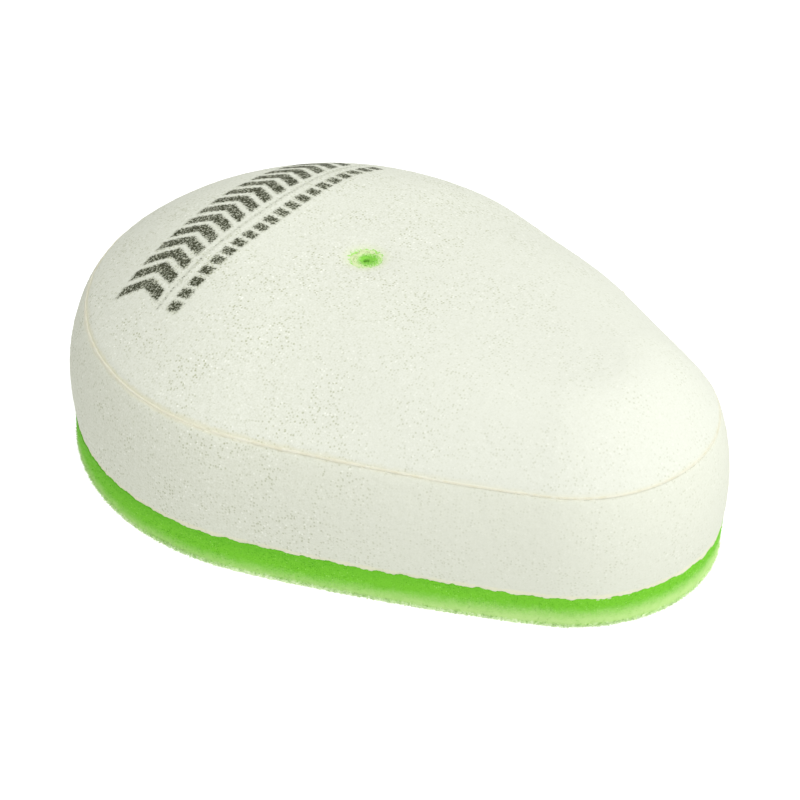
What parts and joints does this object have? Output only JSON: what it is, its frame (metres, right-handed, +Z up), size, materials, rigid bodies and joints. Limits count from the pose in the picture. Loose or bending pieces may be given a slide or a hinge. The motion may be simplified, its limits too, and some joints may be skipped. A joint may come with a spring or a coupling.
{
  "type": "air filter",
  "caption": "Egg-shaped dual-stage foam air filter cap for a motorcycle airbox, open underneath, with a foam sealing rim and a bolt hole in its domed top.",
  "frame": {"origin": "middle of the underside, on the plane of the sealing face", "axes": "+Z up, from the sealing face to the domed top; +X along the length, towards the narrow end; the XZ plane is the mirror plane"},
  "size_m": [0.2424, 0.1782, 0.0763],
  "materials": {
    "white_foam": "dry open-cell polyurethane foam, coarse, off-white",
    "green_foam": "dry open-cell polyurethane foam, fine, bright green",
    "cream_glue": "cured flexible contact adhesive, cream"
  },
  "bodies": {
    "root": {"outer_top_panel": "white_foam", "outer_side_band": "white_foam", "outer_seam_glue": "cream_glue", "outer_band_joint_glue": "cream_glue", "inner_top_panel": "green_foam", "inner_side_band": "green_foam", "inner_seam_glue": "cream_glue", "inner_band_joint_glue": "cream_glue", "rim_bond_glue": "cream_glue", "sealing_rim": "green_foam"}
  },
  "joints": []
}
